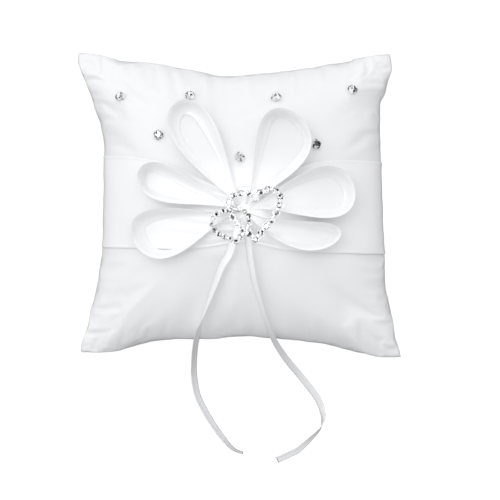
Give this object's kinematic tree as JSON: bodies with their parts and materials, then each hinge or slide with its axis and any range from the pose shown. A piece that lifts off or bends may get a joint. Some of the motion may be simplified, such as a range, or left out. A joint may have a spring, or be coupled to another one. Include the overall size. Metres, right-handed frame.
{
  "type": "ring bearer pillow",
  "caption": "Square white satin ring pillow with a pinched sash, a six-loop ribbon bow, two joined rhinestone hearts, scattered rhinestones and two narrow ribbon tails for tying rings.",
  "frame": {"origin": "under the middle of the cushion, on the plane it rests on", "axes": "+X across the cushion to its right, +Y up the cushion away from the ribbon tails, +Z out of the decorated front"},
  "size_m": [0.2, 0.2632, 0.0687],
  "materials": {
    "satin_cover": "satin",
    "polyester_fibre": "matte",
    "sash_satin": "satin",
    "bow_ribbon": "satin",
    "tail_ribbon": "satin",
    "silver_setting": "polished silver plate",
    "crystal": "faceted and foil-backed"
  },
  "bodies": {
    "root": {"back_panel": "satin_cover", "bow_knot": "bow_ribbon", "bow_loop_lower_left": "bow_ribbon", "bow_loop_lower_right": "bow_ribbon", "bow_loop_mid_left": "bow_ribbon", "bow_loop_mid_right": "bow_ribbon", "bow_loop_upper_left": "bow_ribbon", "bow_loop_upper_right": "bow_ribbon", "fibre_filling": "polyester_fibre", "front_panel": "satin_cover", "large_heart_frame": "silver_setting", "large_heart_stone_01": "crystal", "large_heart_stone_02": "crystal", "large_heart_stone_03": "crystal", "large_heart_stone_04": "crystal", "large_heart_stone_05": "crystal", "large_heart_stone_06": "crystal", "large_heart_stone_07": "crystal", "large_heart_stone_08": "crystal", "large_heart_stone_09": "crystal", "large_heart_stone_10": "crystal", "large_heart_stone_11": "crystal", "large_heart_stone_12": "crystal", "large_heart_stone_13": "crystal", "large_heart_stone_14": "crystal", "large_heart_stone_15": "crystal", "large_heart_stone_16": "crystal", "large_heart_stone_17": "crystal", "large_heart_stone_18": "crystal", "large_heart_stone_19": "crystal", "large_heart_stone_20": "crystal", "ring_tail_left": "tail_ribbon", "ring_tail_right": "tail_ribbon", "sash_band": "sash_satin", "scatter_stone_1": "crystal", "scatter_stone_2": "crystal", "scatter_stone_3": "crystal", "scatter_stone_4": "crystal", "scatter_stone_5": "crystal", "scatter_stone_6": "crystal", "scatter_stone_7": "crystal", "small_heart_frame": "silver_setting", "small_heart_stone_01": "crystal", "small_heart_stone_02": "crystal", "small_heart_stone_03": "crystal", "small_heart_stone_04": "crystal", "small_heart_stone_05": "crystal", "small_heart_stone_06": "crystal", "small_heart_stone_07": "crystal", "small_heart_stone_08": "crystal", "small_heart_stone_09": "crystal", "small_heart_stone_10": "crystal", "small_heart_stone_11": "crystal", "small_heart_stone_12": "crystal", "small_heart_stone_13": "crystal", "small_heart_stone_14": "crystal"}
  },
  "joints": []
}
